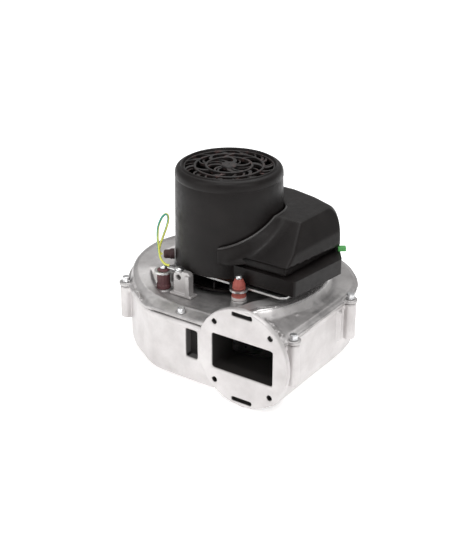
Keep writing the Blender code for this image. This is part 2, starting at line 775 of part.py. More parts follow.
def lid_body(d):
    """Solid shape of the lid, inset by d: rounded toward the top, planes at the front and right."""
    rows = [[(x, y, 105.0 if d else 110.3) for x, y in lid_outline(d)]]
    steps = 3 if d else 6
    for k in range(steps + 1):
        a = math.radians(90.0 * k / steps)
        z = LID_TOP - d - LID_ROUND * (1 - math.sin(a))
        rows.append([(x, y, z) for x, y in lid_outline(d + LID_INSET * (1 - math.cos(a)))])
    n = len(rows[0])
    verts = [v for row in rows for v in row]
    faces = [(i * n + j, i * n + (j + 1) % n, (i + 1) * n + (j + 1) % n, (i + 1) * n + j)
             for i in range(len(rows) - 1) for j in range(n)]
    faces.append(tuple(range(n))[::-1])
    faces.append(tuple(range(len(verts) - n, len(verts))))
    eave = ROOF_Z - d * math.hypot(1.0, ROOF_RISE)
    data = plane_cut((verts, faces), (50.0, ROOF_Y, eave), (0.0, -ROOF_RISE, 1.0))
    for lean in (31.5, 13.6):
        a = math.radians(lean)
        normal = Vector((math.cos(a), -0.06 * math.cos(a), math.sin(a)))
        data = plane_cut(data, (92.0 - d, -21.0, 129.3), normal)
    return data


RECESS_EDGE = ((-36.0, 121.0), (-20.0, 120.2), (2.8, 118.8), (30.3, 116.2), (44.0, 114.6), (60.0, 112.4),
               (72.0, 109.0))


def recess_height(x, y):
    """Lower edge of the lid's overhanging skirt."""
    if y < RECESS_EDGE[0][0]:
        return ROOF_Z
    if x < 50.0 or y > RECESS_EDGE[-1][0]:
        return 109.0
    for (y0, z0), (y1, z1) in zip(RECESS_EDGE, RECESS_EDGE[1:]):
        if y <= y1:
            return lerp(z0, z1, (y - y0) / (y1 - y0))
    return 109.0


def recess_ring():
    """Band cut away under the skirt of the lid."""
    outer = lid_outline(-2.0)
    inner = lid_outline(RECESS)
    rows = [[(x, y, 104.0) for x, y in outer],
            [(x, y, recess_height(x, y)) for x, y in outer],
            [(x, y, recess_height(x, y)) for x, y in inner],
            [(x, y, 104.0) for x, y in inner]]
    return [v for row in rows for v in row], ring_faces(4, len(outer), True)


def collar(steps=20):
    """Flared collar of the lid around the motor cap, higher toward the back."""
    rows = []
    for k in range(steps + 1):
        t = lerp(-67.0, 38.0, k / steps)
        a = math.radians(t)
        c, s = math.cos(a), math.sin(a)
        crest = min(152.6, 155.0 + 0.53 * 56.0 * s)
        crest = lerp(crest, roof_height(56.0 * s) + 0.4, smooth_step((t - 4.0) / 34.0))
        foot = 70.0
        if t < -35.0:
            foot = min(70.0, max(56.8, (49.4 if t < -55.0 else lerp(41.2, 49.4, (-t - 35.0) / 20.0)) / -s))
        low = max(111.0, roof_height(foot * s) - 3.0)
        base = max(roof_height(foot * s) + 0.1, 114.0)
        prof = [(54.7, low), (foot, low), (foot, base)]
        for u, v in ((0.62, 0.14), (0.34, 0.42), (0.16, 0.8)):
            prof.append((lerp(56.6, foot, u), lerp(base, crest, v)))
        prof += [(56.4, crest), (54.7, crest - 0.3)]
        rows.append([(r * c, r * s, z) for r, z in prof])
    n = len(rows[0])
    verts = [v for row in rows for v in row]
    faces = []
    for i in range(steps):
        for j in range(n):
            faces.append((i * n + j, i * n + (j + 1) % n, (i + 1) * n + (j + 1) % n, (i + 1) * n + j))
    faces.append(tuple(range(n)))
    faces.append(tuple(range(steps * n, steps * n + n))[::-1])
    return verts, faces


def electronics_lid(mat):
    verts, faces = lid_body(0.0)
    ob = add_mesh("electronics_lid", verts, faces, mat, False)
    inner = boolean(ob, [lid_body(LID_WALL)], "DIFFERENCE")
    inner.name = "electronics_lid_inside_tool"
    tool = boolean(ob, [collar()], "UNION")
    tool.name = "electronics_lid_collar_tool"
    tool = boolean(ob, [cyl_data(0.0, 0.0, CAP_R_BASE + GAP, 90.0, 200.0, 48)], "DIFFERENCE")
    tool.name = "electronics_lid_round_tool"
    tool = boolean(ob, [recess_ring()], "DIFFERENCE")
    tool.name = "electronics_lid_recess_tool"
    return ob


def pcb(mat):
    pts = ((56.5, -38.0), (89.5, -38.0), (89.5, 36.0), (74.0, 54.0), (56.5, 58.0))
    ob = prism("pcb", pts, 100.0, 101.6, mat, False)
    return ob


def small_parts(m):
    for index, y, top in ((1, -7.0, 122.0), (2, 14.0, 129.0)):
        prof = ((8.8, 102.0), (9.0, 103.0), (9.0, top - 1.0), (8.2, top))
        revolve("capacitor_%d" % index, prof, 16, m["cap_blue"], (74.0, y))
    choke = ((5.0, 103.4), (4.0, 104.6), (4.0, 112.0), (5.0, 113.2), (10.0, 113.2), (11.2, 112.0),
             (11.2, 104.6), (10.0, 103.4))
    revolve("choke_coil", choke, 16, m["copper"], (74.0, 38.0), closed=True)
    box("power_module", 60.0, 84.0, -34.0, -26.0, 102.0, 112.0, m["black"])


def power_header(mat):
    ob = box("power_header", 20.4, 43.6, 70.0, 80.5, 98.9, 108.1, mat)
    cuts = [box_data(22.0, 42.0, 73.0, 92.0, 100.4, 106.6)]
    boolean(ob, cuts, "DIFFERENCE")
    return ob


def signal_terminal(mat):
    data = box_data(-3.6, 3.6, 0.0, 8.0, 110.3, 113.8)
    turned = rotated(data, "Z", angle=-54.5)
    verts = [(x + 97.2, y + 45.3, z) for x, y, z in turned[0]]
    return add_mesh("signal_terminal", verts, turned[1], mat, False)


# ---- earth connection --------------------------------------------------------
def earth_post(mat):
    corners = ((-24.0, 71.9), (-4.5, 71.9), (-4.5, 97.4), (-13.4, 97.4), (-14.3, 95.5), (-24.0, 95.5))
    outline = round_polygon(corners, (0, 0, 3.0, 0.4, 0.4, 4.0), 3)
    flat = prism_data(outline, -60.0, -54.4)
    verts = [(x, y, z) for x, z, y in flat[0]]
    ob = add_mesh("earth_post", verts, flat[1], mat, False)
    boolean(ob, [box_data(-27.0, -1.0, -63.0, -52.0, 71.9, 74.4)], "UNION")
    tool = boolean(ob, [box_data(-8.6, -3.6, -63.0, -55.0, 72.2, 95.0)], "UNION")
    tool.name = "earth_post_rib_tool"
    boolean(ob, [ycyl_data(-18.0, 90.3, 2.8, -70.0, -45.0, 14)], "DIFFERENCE")
    return ob


def ring_terminal(mat):
    ring = revolve_data(((2.3, 95.9), (2.3, 96.9), (4.6, 96.9), (4.6, 95.9)), 14, (-19.5, -56.5), closed=True)
    ob = add_mesh("ring_terminal", ring[0], ring[1], mat, False)
    adds = [box_data(-33.0, -23.0, -58.2, -54.8, 95.9, 96.9)]
    boolean(ob, adds, "UNION")
    return ob


def earth_screw(mat):
    prof = ((2.0, 95.9), (2.0, 97.2), (4.0, 97.2), (4.0, 98.6), (2.8, 99.8))
    return revolve("earth_screw", prof, 14, mat, (-19.5, -56.5))


def cable_grommet(mat):
    prof = ((3.0, 54.0), (5.2, 54.0), (5.2, 58.0), (4.4, 59.0), (4.4, 63.5), (3.0, 65.0), (1.7, 65.0),
            (1.7, 56.0))
    verts, faces = revolve_data(prof, 14, closed=True)
    turned = []
    t = math.radians(219.0)
    for x, y, z in verts:
        turned.append((z * math.cos(t) - y * math.sin(t), z * math.sin(t) + y * math.cos(t), 100.0 + x))
    return add_mesh("cable_grommet", turned, faces, mat)


WIRE_KEYS = ((-31.5, -56.5, 98.25), (-36.5, -57.2, 99.0), (-41.5, -56.8, 103.0), (-45.5, -54.5, 110.0),
             (-49.0, -51.5, 121.0), (-49.5, -49.5, 132.0), (-46.0, -48.0, 142.0), (-41.5, -46.8, 146.5),
             (-39.6, -46.0, 142.5), (-42.5, -45.0, 133.0), (-47.5, -44.0, 122.0), (-52.5, -43.0, 111.0),
             (-54.4, -42.9, 104.0), (-53.2, -42.6, 100.9), (-51.4, -41.6, 100.0))
WIRE_R = 1.2


def smooth_path(keys, per):
    """Catmull-Rom curve through the keys."""
    pts = [Vector(k) for k in keys]
    ext = [2 * pts[0] - pts[1]] + pts + [2 * pts[-1] - pts[-2]]
    out = []
    for i in range(1, len(ext) - 2):
        p0, p1, p2, p3 = ext[i - 1:i + 3]
        for k in range(per):
            t = k / per
            out.append(0.5 * ((2 * p1) + (p2 - p0) * t + (2 * p0 - 5 * p1 + 4 * p2 - p3) * t * t
                              + (3 * p1 - p0 - 3 * p2 + p3) * t ** 3))
    out.append(pts[-1])
    return out


def earth_wire(mat):
    path = smooth_path(WIRE_KEYS, 3)
    curve = bpy.data.curves.new("earth_wire", "CURVE")
    curve.dimensions = "3D"
    curve.bevel_depth = WIRE_R * MM
    curve.bevel_resolution = 2
    curve.use_fill_caps = True
    line = curve.splines.new("POLY")
    line.points.add(len(path) - 1)
    for point, co in zip(line.points, path):
        point.co = (*(co * MM), 1.0)
    curve.materials.append(mat)
    ob = bpy.data.objects.new("earth_wire", curve)
    bpy.context.scene.collection.objects.link(ob)
    return ob


# ---- assembly ----------------------------------------------------------------
def build():
    clear_scene()
    m = {
        "cast": material("cast_aluminium", (0.62, 0.60, 0.59), 0.42, 0.85),
        "steel": material("zinc_steel", (0.70, 0.71, 0.72), 0.3, 1.0),
        "dark_steel": material("dark_steel", (0.24, 0.24, 0.25), 0.45, 0.9),
        "black": material("black_plastic", (0.03, 0.03, 0.03), 0.5),
        "silicone": material("red_silicone", (0.42, 0.09, 0.07), 0.6),
        "rubber": material("black_rubber", (0.04, 0.04, 0.04), 0.8),
        "copper": material("copper_wire", (0.72, 0.30, 0.14), 0.35, 0.9),
        "board": material("circuit_board", (0.04, 0.22, 0.10), 0.5),
        "cap_blue": material("capacitor_sleeve", (0.05, 0.08, 0.22), 0.4),
        "green": material("green_plastic", (0.10, 0.42, 0.12), 0.45),
        "white": material("white_plastic", (0.75, 0.74, 0.70), 0.5),
        "wire": material("earth_insulation", (0.62, 0.66, 0.10), 0.5),
        "brown": material("dark_rubber", (0.07, 0.03, 0.035), 0.6),
    }
    lower_housing(m["cast"])
    housing_cover(m["cast"])
    housing_seal(m["rubber"])
    for i, (x, y) in enumerate(LUGS, 1):
        cover_screw(i, x, y, m["steel"])
    inlet_nozzle(m["steel"])
    shaft_seal(m["rubber"])
    shaft(m["steel"])
    impeller(m["cast"])
    impeller_nut(m["steel"])
    cooling_fan(m["black"])
    rotor_core(m["dark_steel"])
    bearing("lower_bearing", 88.4, 95.6, m["steel"], m["steel"])
    bearing("upper_bearing", 140.4, 147.6, m["steel"], m["steel"])
    motor_plate(m["steel"])
    bearing_carrier(m["cast"])
    stator(m["dark_steel"], m["copper"], m["black"])
    motor_cap(m["black"])
    for i, (x, y, foot, tip) in enumerate(ISO_SPOTS, 1):
        isolator(i, x, y, foot, tip, m["silicone"])
        isolator_screw(i, x, y, tip, m["steel"])
    electronics_base(m["black"])
    electronics_lid(m["black"])
    pcb(m["board"])
    small_parts(m)
    power_header(m["white"])
    signal_terminal(m["green"])
    earth_post(m["cast"])
    ring_terminal(m["steel"])
    earth_screw(m["steel"])
    cable_grommet(m["brown"])
    earth_wire(m["wire"])


def centre_on_origin():
    """Shift the assembly so its box is centred in X and Y and stands on z = 0."""
    graph = bpy.context.evaluated_depsgraph_get()
    low = Vector((1e9, 1e9, 1e9))
    high = -low
    for ob in bpy.context.scene.objects:
        if ob.hide_render or ob.type != "MESH":
            continue
        mesh = ob.evaluated_get(graph).to_mesh()
        for v in mesh.vertices:
            co = ob.matrix_world @ v.co
            low = Vector(map(min, low, co))
            high = Vector(map(max, high, co))
    shift = Vector((-(low.x + high.x) / 2, -(low.y + high.y) / 2, -low.z))
    for ob in bpy.context.scene.objects:
        ob.location = ob.location + shift
    print("size", [round(c / MM, 2) for c in high - low], "shift", [round(c / MM, 3) for c in shift])


build()
centre_on_origin()
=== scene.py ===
import json
import math

import bmesh
import bpy
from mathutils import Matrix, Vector


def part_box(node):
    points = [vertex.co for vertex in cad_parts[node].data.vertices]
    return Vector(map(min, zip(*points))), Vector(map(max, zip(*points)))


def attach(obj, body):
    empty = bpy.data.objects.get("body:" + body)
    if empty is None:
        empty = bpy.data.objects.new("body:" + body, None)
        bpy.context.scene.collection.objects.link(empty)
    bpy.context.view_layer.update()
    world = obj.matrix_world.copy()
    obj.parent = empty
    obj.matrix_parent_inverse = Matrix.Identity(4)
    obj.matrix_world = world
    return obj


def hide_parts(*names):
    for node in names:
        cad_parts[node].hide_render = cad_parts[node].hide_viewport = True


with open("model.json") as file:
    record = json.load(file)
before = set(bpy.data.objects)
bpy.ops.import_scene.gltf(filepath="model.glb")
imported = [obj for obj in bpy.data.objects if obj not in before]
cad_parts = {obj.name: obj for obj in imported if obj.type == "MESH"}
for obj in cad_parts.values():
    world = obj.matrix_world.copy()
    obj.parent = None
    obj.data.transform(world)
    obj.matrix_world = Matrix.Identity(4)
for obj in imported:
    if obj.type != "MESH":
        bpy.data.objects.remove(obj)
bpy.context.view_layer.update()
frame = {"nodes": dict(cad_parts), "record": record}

MM = 0.001
nodes = frame["nodes"]


# ---- frame: where the motor axis stands ---------------------------------------
def axis_point():
    low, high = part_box("rotor_core")
    return (low.x + high.x) / 2 / MM, (low.y + high.y) / 2 / MM


AXIS_X, AXIS_Y = axis_point()
LIFT = 1.0


def at(x, y, z):
    """Point of the motor-axis frame (mm) in the row frame (m)."""
    return Vector(((x + AXIS_X) * MM, (y + AXIS_Y) * MM, (z + LIFT) * MM))


# ---- camera and light ---------------------------------------------------------
WORLD = 0.42
FLOOR_GLOW = 0.5
LIGHTS = (("key", (-0.7, -1.4, 1.0), (1.0, 1.0), 5.5),
          ("fill", (1.5, -0.6, 1.1), (0.9, 0.9), 6.0),
          ("top", (-0.1, 0.5, 1.6), (1.4, 1.4), 13.0),
          ("rim", (0.25, -0.75, 1.6), (0.35, 0.2), 6.0))


def make_camera():
    data = bpy.data.cameras.new("camera")
    data.sensor_width = 36.0
    data.lens = 77.84
    data.clip_start, data.clip_end = 0.05, 200.0
    cam = bpy.data.objects.new("camera", data)
    bpy.context.scene.collection.objects.link(cam)
    cam.location = at(623.467, -892.164, 581.727)
    back = Vector((0.51958485, -0.7417685, 0.42404136))
    cam.rotation_mode = "QUATERNION"
    cam.rotation_quaternion = (-back).to_track_quat("-Z", "Y")
    bpy.context.scene.camera = cam


def area_light(name, place, target, size, power):
    data = bpy.data.lights.new(name, "AREA")
    data.shape = "RECTANGLE"
    data.size, data.size_y = size
    data.energy = power
    light = bpy.data.objects.new(name, data)
    bpy.context.scene.collection.objects.link(light)
    light.location = place
    light.rotation_mode = "QUATERNION"
    light.rotation_quaternion = (Vector(target) - Vector(place)).to_track_quat("-Z", "Y")


def make_studio():
    world = bpy.data.worlds.new("studio")
    bpy.context.scene.world = world
    world.use_nodes = True
    background = world.node_tree.nodes["Background"]
    background.inputs["Color"].default_value = (1.0, 1.0, 1.0, 1.0)
    background.inputs["Strength"].default_value = WORLD
    bpy.context.scene.view_settings.view_transform = "Standard"
    for name, place, size, power in LIGHTS:
        area_light(name, place, (0.0, 0.0, 0.08), size, power)

    bm = bmesh.new()
    bmesh.ops.create_grid(bm, x_segments=2, y_segments=2, size=60.0)
    mesh = bpy.data.meshes.new("floor")
    bm.to_mesh(mesh)
    floor = bpy.data.objects.new("floor", mesh)
    floor.location.z = -0.0002
    bpy.context.scene.collection.objects.link(floor)
    mat = bpy.data.materials.new("floor_paper")
    mat.use_nodes = True
    shader = mat.node_tree.nodes["Principled BSDF"]
    shader.inputs["Base Color"].default_value = (0.93, 0.93, 0.93, 1.0)
    shader.inputs["Roughness"].default_value = 0.9
    shader.inputs["Specular IOR Level"].default_value = 0.1
    shader.inputs["Emission Color"].default_value = (1.0, 1.0, 1.0, 1.0)
    shader.inputs["Emission Strength"].default_value = FLOOR_GLOW
    mesh.materials.append(mat)


# ---- materials ----------------------------------------------------------------
class Net:
    """A material's node tree, built call by call."""

    def __init__(self, name):
        self.mat = bpy.data.materials.new(name)
        self.mat.use_nodes = True
        self.tree = self.mat.node_tree
        self.shader = self.tree.nodes["Principled BSDF"]
        self.coord = self.tree.nodes.new("ShaderNodeTexCoord").outputs["Object"]

    def put(self, kind, inputs=(), **settings):
        node = self.tree.nodes.new(kind)
        for key, value in settings.items():
            setattr(node, key, value)
        for key, value in dict(inputs).items():
            if isinstance(value, bpy.types.NodeSocket):
                self.tree.links.new(value, node.inputs[key])
            else:
                node.inputs[key].default_value = value
        return node

    def noise(self, scale, detail=4.0, rough=0.55):
        node = self.put("ShaderNodeTexNoise", {"Vector": self.coord, "Scale": scale,
                                               "Detail": detail, "Roughness": rough})
        return node.outputs["Fac"]

    def ramp(self, fac, stops):
        node = self.put("ShaderNodeValToRGB", {"Fac": fac})
        ramp = node.color_ramp
        while len(ramp.elements) < len(stops):
            ramp.elements.new(0.5)
        for element, (place, value) in zip(ramp.elements, stops):
            element.position = place
            element.color = (*value, 1.0) if len(value) == 3 else value
        return node.outputs["Color"]

    def span(self, fac, low, high, a=0.0, b=1.0):
        node = self.put("ShaderNodeMapRange", {"Value": fac, "From Min": a, "From Max": b,
                                               "To Min": low, "To Max": high})
        return node.outputs["Result"]

    def mix(self, fac, a, b):
        node = self.put("ShaderNodeMix", {0: fac, 6: a, 7: b}, data_type="RGBA", blend_type="MIX")
        return node.outputs[2]

    def math(self, op, a, b=0.0):
        return self.put("ShaderNodeMath", {0: a, 1: b}, operation=op).outputs[0]

    def bump(self, height, strength, distance, before=None):
        inputs = {"Height": height, "Strength": strength, "Distance": distance}
        if before is not None:
            inputs["Normal"] = before
        return self.put("ShaderNodeBump", inputs).outputs["Normal"]

    def axes(self):
        """X, Y and Z of the row frame, in axis-frame millimetres."""
        parts = self.put("ShaderNodeSeparateXYZ", {"Vector": self.coord}).outputs
        shift = (AXIS_X, AXIS_Y, LIFT)
        return [self.math("SUBTRACT", self.math("MULTIPLY", parts[i], 1000.0), shift[i]) for i in range(3)]

    def band(self, value, low, high, soft):
        """1 between low and high, 0 outside, with soft edges."""
        centre, half = (low + high) / 2, (high - low) / 2
        away = self.math("ABSOLUTE", self.math("SUBTRACT", value, centre))
        return self.span(away, 1.0, 0.0, half - soft, half + soft)

    def block(self, xyz, limits, soft=0.4):
        """1 inside a box given in axis-frame millimetres."""
        masks = [self.band(value, low, high, soft) for value, (low, high) in zip(xyz, limits)]
        out = masks[0]
        for mask in masks[1:]:
            out = self.math("MULTIPLY", out, mask)
        return out

    def most(self, masks):
        out = masks[0]
        for mask in masks[1:]:
            out = self.math("MAXIMUM", out, mask)
        return out

    def give(self, **sockets):
        for key, value in sockets.items():
            socket = self.shader.inputs[key.replace("_", " ")]
            if isinstance(value, bpy.types.NodeSocket):
                self.tree.links.new(value, socket)
            else:
                socket.default_value = value
        return self.mat


def cast_base(n, dark, light):
    """Satin cast skin: cloudy tone, fine grain; returns colour, roughness and normal."""
    cloud = n.noise(24.0, 6.0, 0.62)
    colour = n.ramp(cloud, ((0.32, dark), (0.68, light)))
    speck = n.noise(260.0, 3.0, 0.6)
    colour = n.mix(n.span(speck, 0.0, 0.35, 0.55, 0.8), colour, (*dark, 1.0))
    rough = n.span(n.noise(60.0, 5.0, 0.65), 0.34, 0.54, 0.3, 0.7)
    soft = n.bump(n.noise(120.0, 3.0), 0.3, 0.0005)
    return colour, rough, n.bump(n.noise(900.0, 3.0), 0.25, 0.00012, soft)


def cast_aluminium():
    n = Net("cast_aluminium")
    colour, rough, normal = cast_base(n, (0.50, 0.48, 0.475), (0.66, 0.64, 0.63))
    return n.give(Base_Color=colour, Roughness=rough, Metallic=0.6, Normal=normal)


FLANGE_X, FLANGE_Z = 83.3, 50.0
HOLE_OUT, SLOT_OUT = 30.5, 44.0
# Near-black colour painted as shade inside the lower casting's openings.
SHADE_PAINT = (0.012, 0.010, 0.009, 1.0)


def cast_housing():
    """Lower casting: bright outside, with near-black painted shade inside the port, holes, slots and
    pocket.
    """
    n = Net("cast_housing")
    colour, rough, normal = cast_base(n, (0.53, 0.505, 0.50), (0.70, 0.675, 0.67))
    xyz = n.axes()
    # Masks of the port, the pocket, the flange slots and the bolt holes: there the colour turns to
    # near-black painted shade and the metal sheen drops.
    holes = [n.block(xyz, ((49.5, 116.8), (-98.8, -20.0), (31.5, 68.4))),
             n.block(xyz, ((15.0, 29.5), (-93.2, -80.0), (29.5, 60.5)), 0.8)]
    for side in (-1, 1):
        z = FLANGE_Z + side * SLOT_OUT
        holes.append(n.block(xyz, ((71.9, 94.7), (-99.5, -92.0), (z - 2.4, z + 2.4))))
        for across in (-1, 1):
            x, hz = FLANGE_X + across * HOLE_OUT, FLANGE_Z + side * HOLE_OUT
            dx = n.math("SUBTRACT", xyz[0], x)
            dz = n.math("SUBTRACT", xyz[2], hz)
            reach = n.math("SQRT", n.math("ADD", n.math("MULTIPLY", dx, dx), n.math("MULTIPLY", dz, dz)))
            near = n.span(reach, 1.0, 0.0, 3.1, 3.5)
            holes.append(n.math("MULTIPLY", near, n.band(xyz[1], -99.4, -85.0, 0.3)))
    dark = n.most(holes)
    colour = n.mix(dark, colour, SHADE_PAINT)
    shine = n.math("MULTIPLY", n.math("SUBTRACT", 1.0, dark), 0.55)
    return n.give(Base_Color=colour, Roughness=n.math("MAXIMUM", rough, n.math("MULTIPLY", dark, 0.7)),
                  Metallic=shine, Normal=normal)


def cast_cover():
    """Top casting: one cast metal with random dark blotches below the ring crest, smoother on the ring
    crest.
    """
    n = Net("cast_cover")
    colour, rough, normal = cast_base(n, (0.40, 0.385, 0.38), (0.66, 0.64, 0.635))
    x, y, z = n.axes()
    reach = n.math("SQRT", n.math("ADD", n.math("MULTIPLY", x, x), n.math("MULTIPLY", y, y)))
    crest = n.math("MULTIPLY", n.span(z, 0.0, 1.0, 79.5, 82.0), n.span(reach, 0.0, 1.0, 91.0, 94.0))
    # Random dark blotches, mixed in only below the ring crest height.
    dark_blotches = n.math("MULTIPLY", n.span(n.noise(48.0, 4.0, 0.6), 0.0, 0.6, 0.46, 0.68),
                   n.span(z, 1.0, 0.0, 77.0, 81.0))
    colour = n.mix(dark_blotches, colour, (0.10, 0.095, 0.095, 1.0))
    rough = n.math("MULTIPLY", rough, n.math("SUBTRACT", 1.0, n.math("MULTIPLY", crest, 0.45)))
    return n.give(Base_Color=colour, Roughness=rough, Metallic=0.75, Normal=normal)


def metal(name, low, high, rough=(0.22, 0.4), scale=250.0, metallic=1.0):
    n = Net(name)
    colour = n.ramp(n.noise(scale * 0.2, 4.0), ((0.3, low), (0.7, high)))
    roughness = n.span(n.noise(scale, 4.0), rough[0], rough[1], 0.3, 0.7)
    normal = n.bump(n.noise(scale * 6.0, 2.0), 0.12, 0.00006)
    return n.give(Base_Color=colour, Roughness=roughness, Metallic=metallic, Normal=normal)


def grille_plastic():
    n = Net("grille_plastic")
    blotch = n.noise(170.0, 4.0, 0.65)
    colour = n.ramp(blotch, ((0.42, (0.006, 0.005, 0.005)), (0.58, (0.018, 0.011, 0.010)),
                             (0.75, (0.12, 0.06, 0.055))))
    normal = n.bump(n.noise(240.0, 4.0, 0.6), 0.6, 0.0006)
    return n.give(Base_Color=colour, Roughness=n.span(n.noise(300.0), 0.35, 0.6), Normal=normal)


def silicone(name, low, high, ring):
    """Red rubber with a pale washer face below the given height."""
    n = Net(name)
    colour = n.ramp(n.noise(90.0, 4.0), ((0.3, low), (0.7, high)))
    pale = n.span(n.axes()[2], 1.0, 0.0, ring - 0.3, ring + 0.3)
    colour = n.mix(pale, colour, (0.62, 0.57, 0.56, 1.0))
    normal = n.bump(n.noise(700.0, 3.0, 0.6), 0.3, 0.0001)
    return n.give(Base_Color=colour, Roughness=n.span(n.noise(180.0), 0.45, 0.65), Normal=normal)


def plastic(name, low, high, rough=(0.4, 0.55), grain=1400.0, depth=0.0001, shine=0.5):
    n = Net(name)
    colour = n.ramp(n.noise(45.0, 4.0), ((0.3, low), (0.7, high)))
    roughness = n.span(n.noise(180.0, 4.0), rough[0], rough[1], 0.3, 0.7)
    normal = n.bump(n.noise(grain, 3.0, 0.6), 0.35, depth)
    return n.give(Base_Color=colour, Roughness=roughness, Normal=normal, Specular_IOR_Level=shine)


def make_materials():
    return {
        "cast_aluminium": cast_aluminium(),
        "cast_housing": cast_housing(),
        "cast_cover": cast_cover(),
        "grille_plastic": grille_plastic(),
        "lip_plastic": plastic("lip_plastic", (0.020, 0.018, 0.0175), (0.034, 0.031, 0.030), (0.26, 0.38),
                               shine=0.7),
        "wire_green": plastic("wire_green", (0.02, 0.22, 0.16), (0.04, 0.30, 0.22), (0.3, 0.45)),
        "impeller_aluminium": metal("impeller_aluminium", (0.52, 0.52, 0.53), (0.7, 0.7, 0.71)),
        "sheet_steel": metal("sheet_steel", (0.55, 0.55, 0.55), (0.75, 0.75, 0.74), (0.25, 0.42)),
        "bright_steel": metal("bright_steel", (0.62, 0.62, 0.63), (0.8, 0.8, 0.8)),
        "dark_steel": metal("dark_steel", (0.1, 0.095, 0.09), (0.2, 0.18, 0.17), (0.4, 0.6)),
        "black_plastic": plastic("black_plastic", (0.0065, 0.0052, 0.0050), (0.0125, 0.0102, 0.0098),
                                 (0.34, 0.5), shine=0.2),
        "red_silicone": silicone("red_silicone", (0.33, 0.07, 0.055), (0.44, 0.11, 0.085), 84.2),
        # Darker copy of the red silicone: painted shade for the isolators that sit in shadow.
        "shaded_red_silicone": silicone("shaded_red_silicone", (0.07, 0.025, 0.028), (0.15, 0.055, 0.06), 70.0),
        "black_rubber": plastic("black_rubber", (0.02, 0.02, 0.02), (0.035, 0.034, 0.033), (0.6, 0.8)),
        "brown_rubber": plastic("brown_rubber", (0.035, 0.012, 0.014), (0.06, 0.02, 0.022), (0.5, 0.7)),
        "copper_wire": metal("copper_wire", (0.42, 0.13, 0.06), (0.62, 0.24, 0.12), (0.3, 0.5)),
        "circuit_board": plastic("circuit_board", (0.015, 0.12, 0.05), (0.03, 0.2, 0.08), (0.25, 0.4)),
        "capacitor_sleeve": plastic("capacitor_sleeve", (0.02, 0.03, 0.1), (0.04, 0.06, 0.18), (0.2, 0.35)),
        "white_plastic": plastic("white_plastic", (0.62, 0.61, 0.57), (0.74, 0.73, 0.7)),
        "green_plastic": plastic("green_plastic", (0.07, 0.34, 0.08), (0.12, 0.46, 0.13)),
        "earth_insulation": plastic("earth_insulation", (0.6, 0.62, 0.08), (0.72, 0.72, 0.14), (0.3, 0.45)),
    }


# Isolators 2 and 3 take the darker copy of the red silicone as painted shade.
PAINT = {"isolator_2": "shaded_red_silicone", "isolator_3": "shaded_red_silicone"}


def dress_nodes(materials):
    for part in frame["record"]["subparts"]:
        mesh = nodes[part["node"]].data
        mesh.materials.clear()
        mesh.materials.append(materials[PAINT.get(part["node"], part["material_slot"])])


# ---- refined pieces -----------------------------------------------------------
def join_bodies(mesh, bodies):
    bm = bmesh.new()
    bm.from_mesh(mesh)
    for verts, faces in bodies:
        made = [bm.verts.new(v) for v in verts]
        for face in faces:
            bm.faces.new([made[i] for i in face])
    if bodies:
        bmesh.ops.recalc_face_normals(bm, faces=bm.faces)
    bm.to_mesh(mesh)
    bm.free()


def ring_faces(rows, count):
    """Faces of stacked rings of points, closed at both ends."""
    faces = [(i * count + j, i * count + (j + 1) % count,
              (i + 1) * count + (j + 1) % count, (i + 1) * count + j)
             for i in range(rows - 1) for j in range(count)]
    faces.append(tuple(range(count))[::-1])
    faces.append(tuple(range((rows - 1) * count, rows * count)))
    return faces


def stud(x, y, profile, count=24):
    """Round body on a vertical axis; profile is a list of (radius, z)."""
    verts = [at(x + r * math.cos(math.tau * k / count), y + r * math.sin(math.tau * k / count), z)
             for r, z in profile for k in range(count)]
    return verts, ring_faces(len(profile), count)


def bar(start, end, half, z0, z1):
    """Straight rib between two points, with a slightly narrower top."""
    p, q = Vector(start), Vector(end)
    across = (q - p).normalized().orthogonal()
    verts = []
    for z, wide in ((z0, half * 1.35), (z1, half)):
        for point, sign in ((p, -1), (p, 1), (q, 1), (q, -1)):
            side = point + across * sign * wide
            verts.append(at(side.x, side.y, z))
    return verts, ring_faces(2, 4)


def baked(ob):
    graph = bpy.context.evaluated_depsgraph_get()
    mesh = bpy.data.meshes.new_from_object(ob.evaluated_get(graph))
    ob.modifiers.clear()
    ob.data = mesh
    return mesh


MAX_TRIANGLES = 180000


def soft_casting(name, voxel, relax, material, extras=()):
    """Copy of a CAD node with ribs fused on and every edge filleted."""
    mesh = nodes[name].data.copy()
    mesh.transform(nodes[name].matrix_world)
    join_bodies(mesh, extras)
    ob = bpy.data.objects.new(name + "_moulded", mesh)
    bpy.context.scene.collection.objects.link(ob)
    shell = ob.modifiers.new("shell", "REMESH")
    shell.mode = "VOXEL"
    shell.voxel_size = voxel * MM
    mesh = baked(ob)
    soft = ob.modifiers.new("soft", "SMOOTH")
    soft.factor = 0.5
    soft.iterations = relax
    if 2 * len(mesh.polygons) > MAX_TRIANGLES:
        thin = ob.modifiers.new("thin", "DECIMATE")
        thin.ratio = MAX_TRIANGLES / (2 * len(mesh.polygons))
    mesh = baked(ob)
    mesh.shade_smooth()
    mesh.materials.clear()
    mesh.materials.append(material)
    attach(ob, "housing")
    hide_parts(name)


def round_edges(name, width, segments=2, angle=32.0):
    """Fine bevel on a CAD node's sharp edges."""
    ob = nodes[name]
    weld = ob.modifiers.new("weld", "WELD")
    weld.merge_threshold = 0.00001
    bevel = ob.modifiers.new("edge", "BEVEL")
    bevel.width = width * MM
    bevel.segments = segments
    bevel.limit_method = "ANGLE"
    bevel.angle_limit = math.radians(angle)
    bevel.harden_normals = False


def solid(name, bodies, material, replaces, angle=35.0):
    """Piece on the housing made of one or more closed bodies."""
    mesh = bpy.data.meshes.new(name)
    join_bodies(mesh, bodies)
    mesh.materials.append(material)
    mesh.shade_smooth()
    mesh.set_sharp_from_angle(angle=math.radians(angle))
    ob = bpy.data.objects.new(name, mesh)
    bpy.context.scene.collection.objects.link(ob)
    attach(ob, "housing")
    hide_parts(*replaces)
    return ob


CAP_TOP = 193.4


